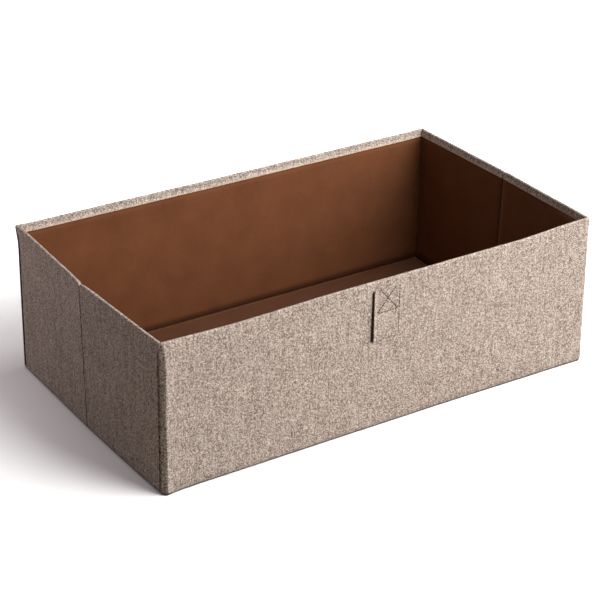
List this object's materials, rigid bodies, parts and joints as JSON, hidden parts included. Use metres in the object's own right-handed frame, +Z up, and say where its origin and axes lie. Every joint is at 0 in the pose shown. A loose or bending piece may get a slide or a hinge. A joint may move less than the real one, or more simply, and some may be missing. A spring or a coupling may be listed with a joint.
{
  "type": "folding storage bin",
  "caption": "Open-top storage bin of cloth over stiff board walls, with end walls that fold inwards at a crease, a loose base insert and a stitched pull tab on the front.",
  "frame": {"origin": "on the floor under the middle of the bin, between its four outer corners", "axes": "+X along the bin's length to its right end, +Y to the back, with the pull tab on the front at -Y, +Z up to the rim"},
  "size_m": [0.605, 0.3456, 0.192],
  "materials": {
    "cover_cloth": "matte",
    "lining_cloth": "matte",
    "greyboard": "matte",
    "thread": "matte"
  },
  "bodies": {
    "back_wall": {"back_cover": "cover_cloth", "back_board": "greyboard", "back_lining": "lining_cloth", "bottom_cloth": "cover_cloth", "back_left_seam": "thread", "back_right_seam": "thread"},
    "left_rear": {"left_rear_cover": "cover_cloth", "left_rear_board": "greyboard", "left_rear_lining": "lining_cloth"},
    "left_front": {"left_front_cover": "cover_cloth", "left_front_board": "greyboard", "left_front_lining": "lining_cloth"},
    "front_wall": {"front_cover": "cover_cloth", "front_board": "greyboard", "front_lining": "lining_cloth", "tab_base": "cover_cloth", "tab_box_stitching": "thread", "front_left_seam": "thread", "front_right_seam": "thread"},
    "right_rear": {"right_rear_cover": "cover_cloth", "right_rear_board": "greyboard", "right_rear_lining": "lining_cloth"},
    "right_front": {"right_front_cover": "cover_cloth", "right_front_board": "greyboard", "right_front_lining": "lining_cloth"},
    "base_insert": {"base_board": "greyboard", "base_wrap": "lining_cloth"},
    "pull_tab": {"tab_flap": "cover_cloth", "tab_edge_stitching": "thread"}
  },
  "joints": [
    {"name": "fold", "type": "hinge", "parent": "back_wall", "child": "left_rear", "pos_m": [-0.2933, 0.1663, 0.098], "axis": [0, 0, 1], "range_deg": [0, 89.9], "deforming": ["bottom_cloth"]},
    {"name": "left_crease", "type": "hinge", "parent": "left_rear", "child": "left_front", "pos_m": [-0.3047, 0, 0.098], "axis": [0, 0, -1], "range_deg": [0, 179.8]},
    {"name": "front_left_corner", "type": "hinge", "parent": "left_front", "child": "front_wall", "pos_m": [-0.2933, -0.1663, 0.098], "axis": [0, 0, 1], "range_deg": [0, 89.9]},
    {"name": "back_right_corner", "type": "hinge", "parent": "back_wall", "child": "right_rear", "pos_m": [0.2933, 0.1663, 0.098], "axis": [0, 0, -1], "range_deg": [0, 89.9]},
    {"name": "right_crease", "type": "hinge", "parent": "right_rear", "child": "right_front", "pos_m": [0.3047, 0, 0.098], "axis": [0, 0, 1], "range_deg": [0, 179.8]},
    {"name": "base_lift", "type": "slide", "parent": "back_wall", "child": "base_insert", "axis": [0, 0, 1], "range_m": [0, 0.22]},
    {"name": "tab_swing", "type": "hinge", "parent": "front_wall", "child": "pull_tab", "pos_m": [0, -0.174, 0.148], "axis": [-1, 0, 0], "range_deg": [0, 120]}
  ],
  "couplings": [
    {"joint": "left_crease", "follows": "fold", "ratio": 2},
    {"joint": "front_left_corner", "follows": "fold", "ratio": 1},
    {"joint": "back_right_corner", "follows": "fold", "ratio": 1},
    {"joint": "right_crease", "follows": "fold", "ratio": 2}
  ]
}
